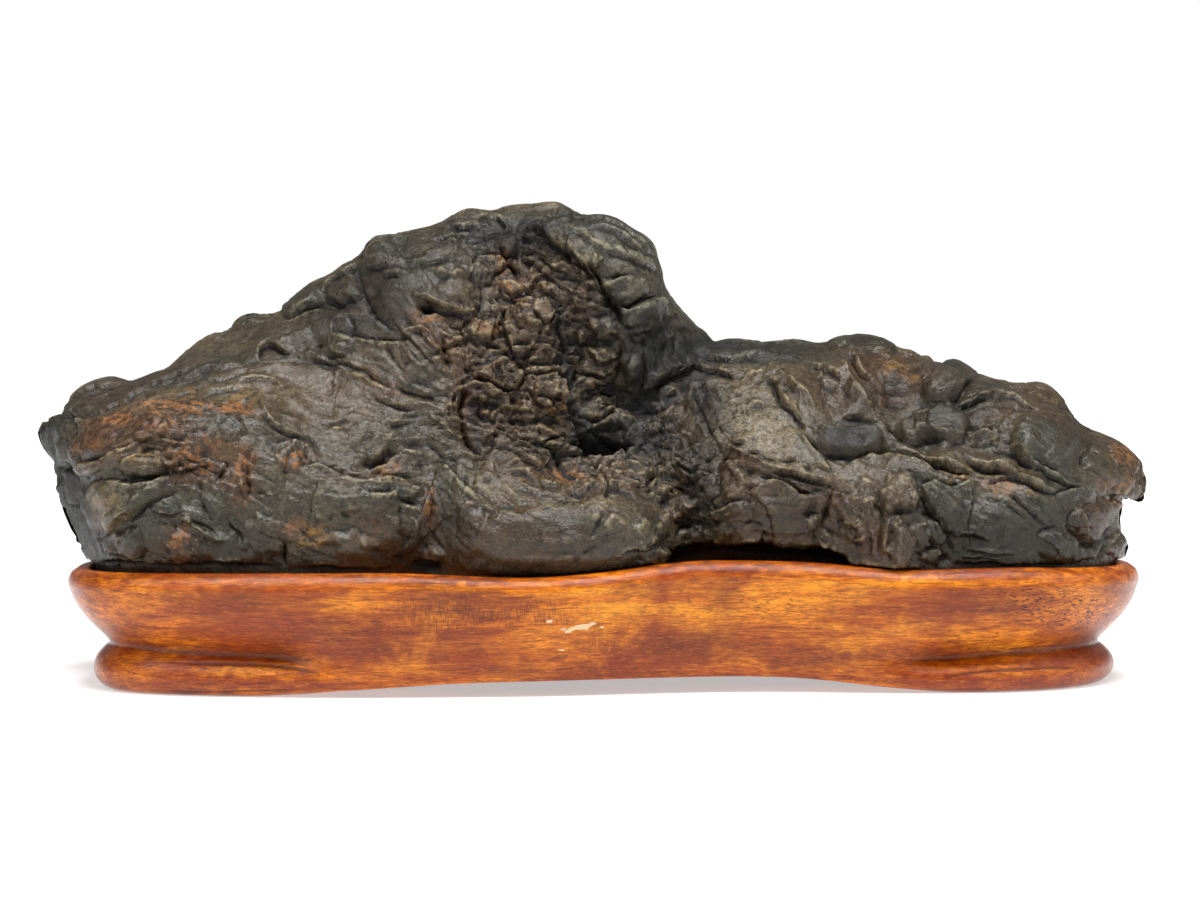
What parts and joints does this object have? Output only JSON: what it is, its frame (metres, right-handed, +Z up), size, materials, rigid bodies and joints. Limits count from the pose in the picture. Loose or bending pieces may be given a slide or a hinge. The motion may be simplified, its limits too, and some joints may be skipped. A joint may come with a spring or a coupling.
{
  "type": "scholars rock",
  "caption": "Long dark two-peaked scholars' rock seated in a carved, lacquered wooden stand with bead feet at both ends.",
  "frame": {"origin": "middle of the underside of the whole object, on the surface it stands on", "axes": "+X along the length towards the low beak end, +Z up, the carved front of the stone faces -Y"},
  "size_m": [0.355, 0.1156, 0.151],
  "materials": {
    "stone": "dark, worn, satin to semi-gloss with rust patches",
    "stand_wood": "glossy red-brown lacquered hardwood"
  },
  "bodies": {
    "root": {"stone": "stone", "stand": "stand_wood"}
  },
  "joints": []
}
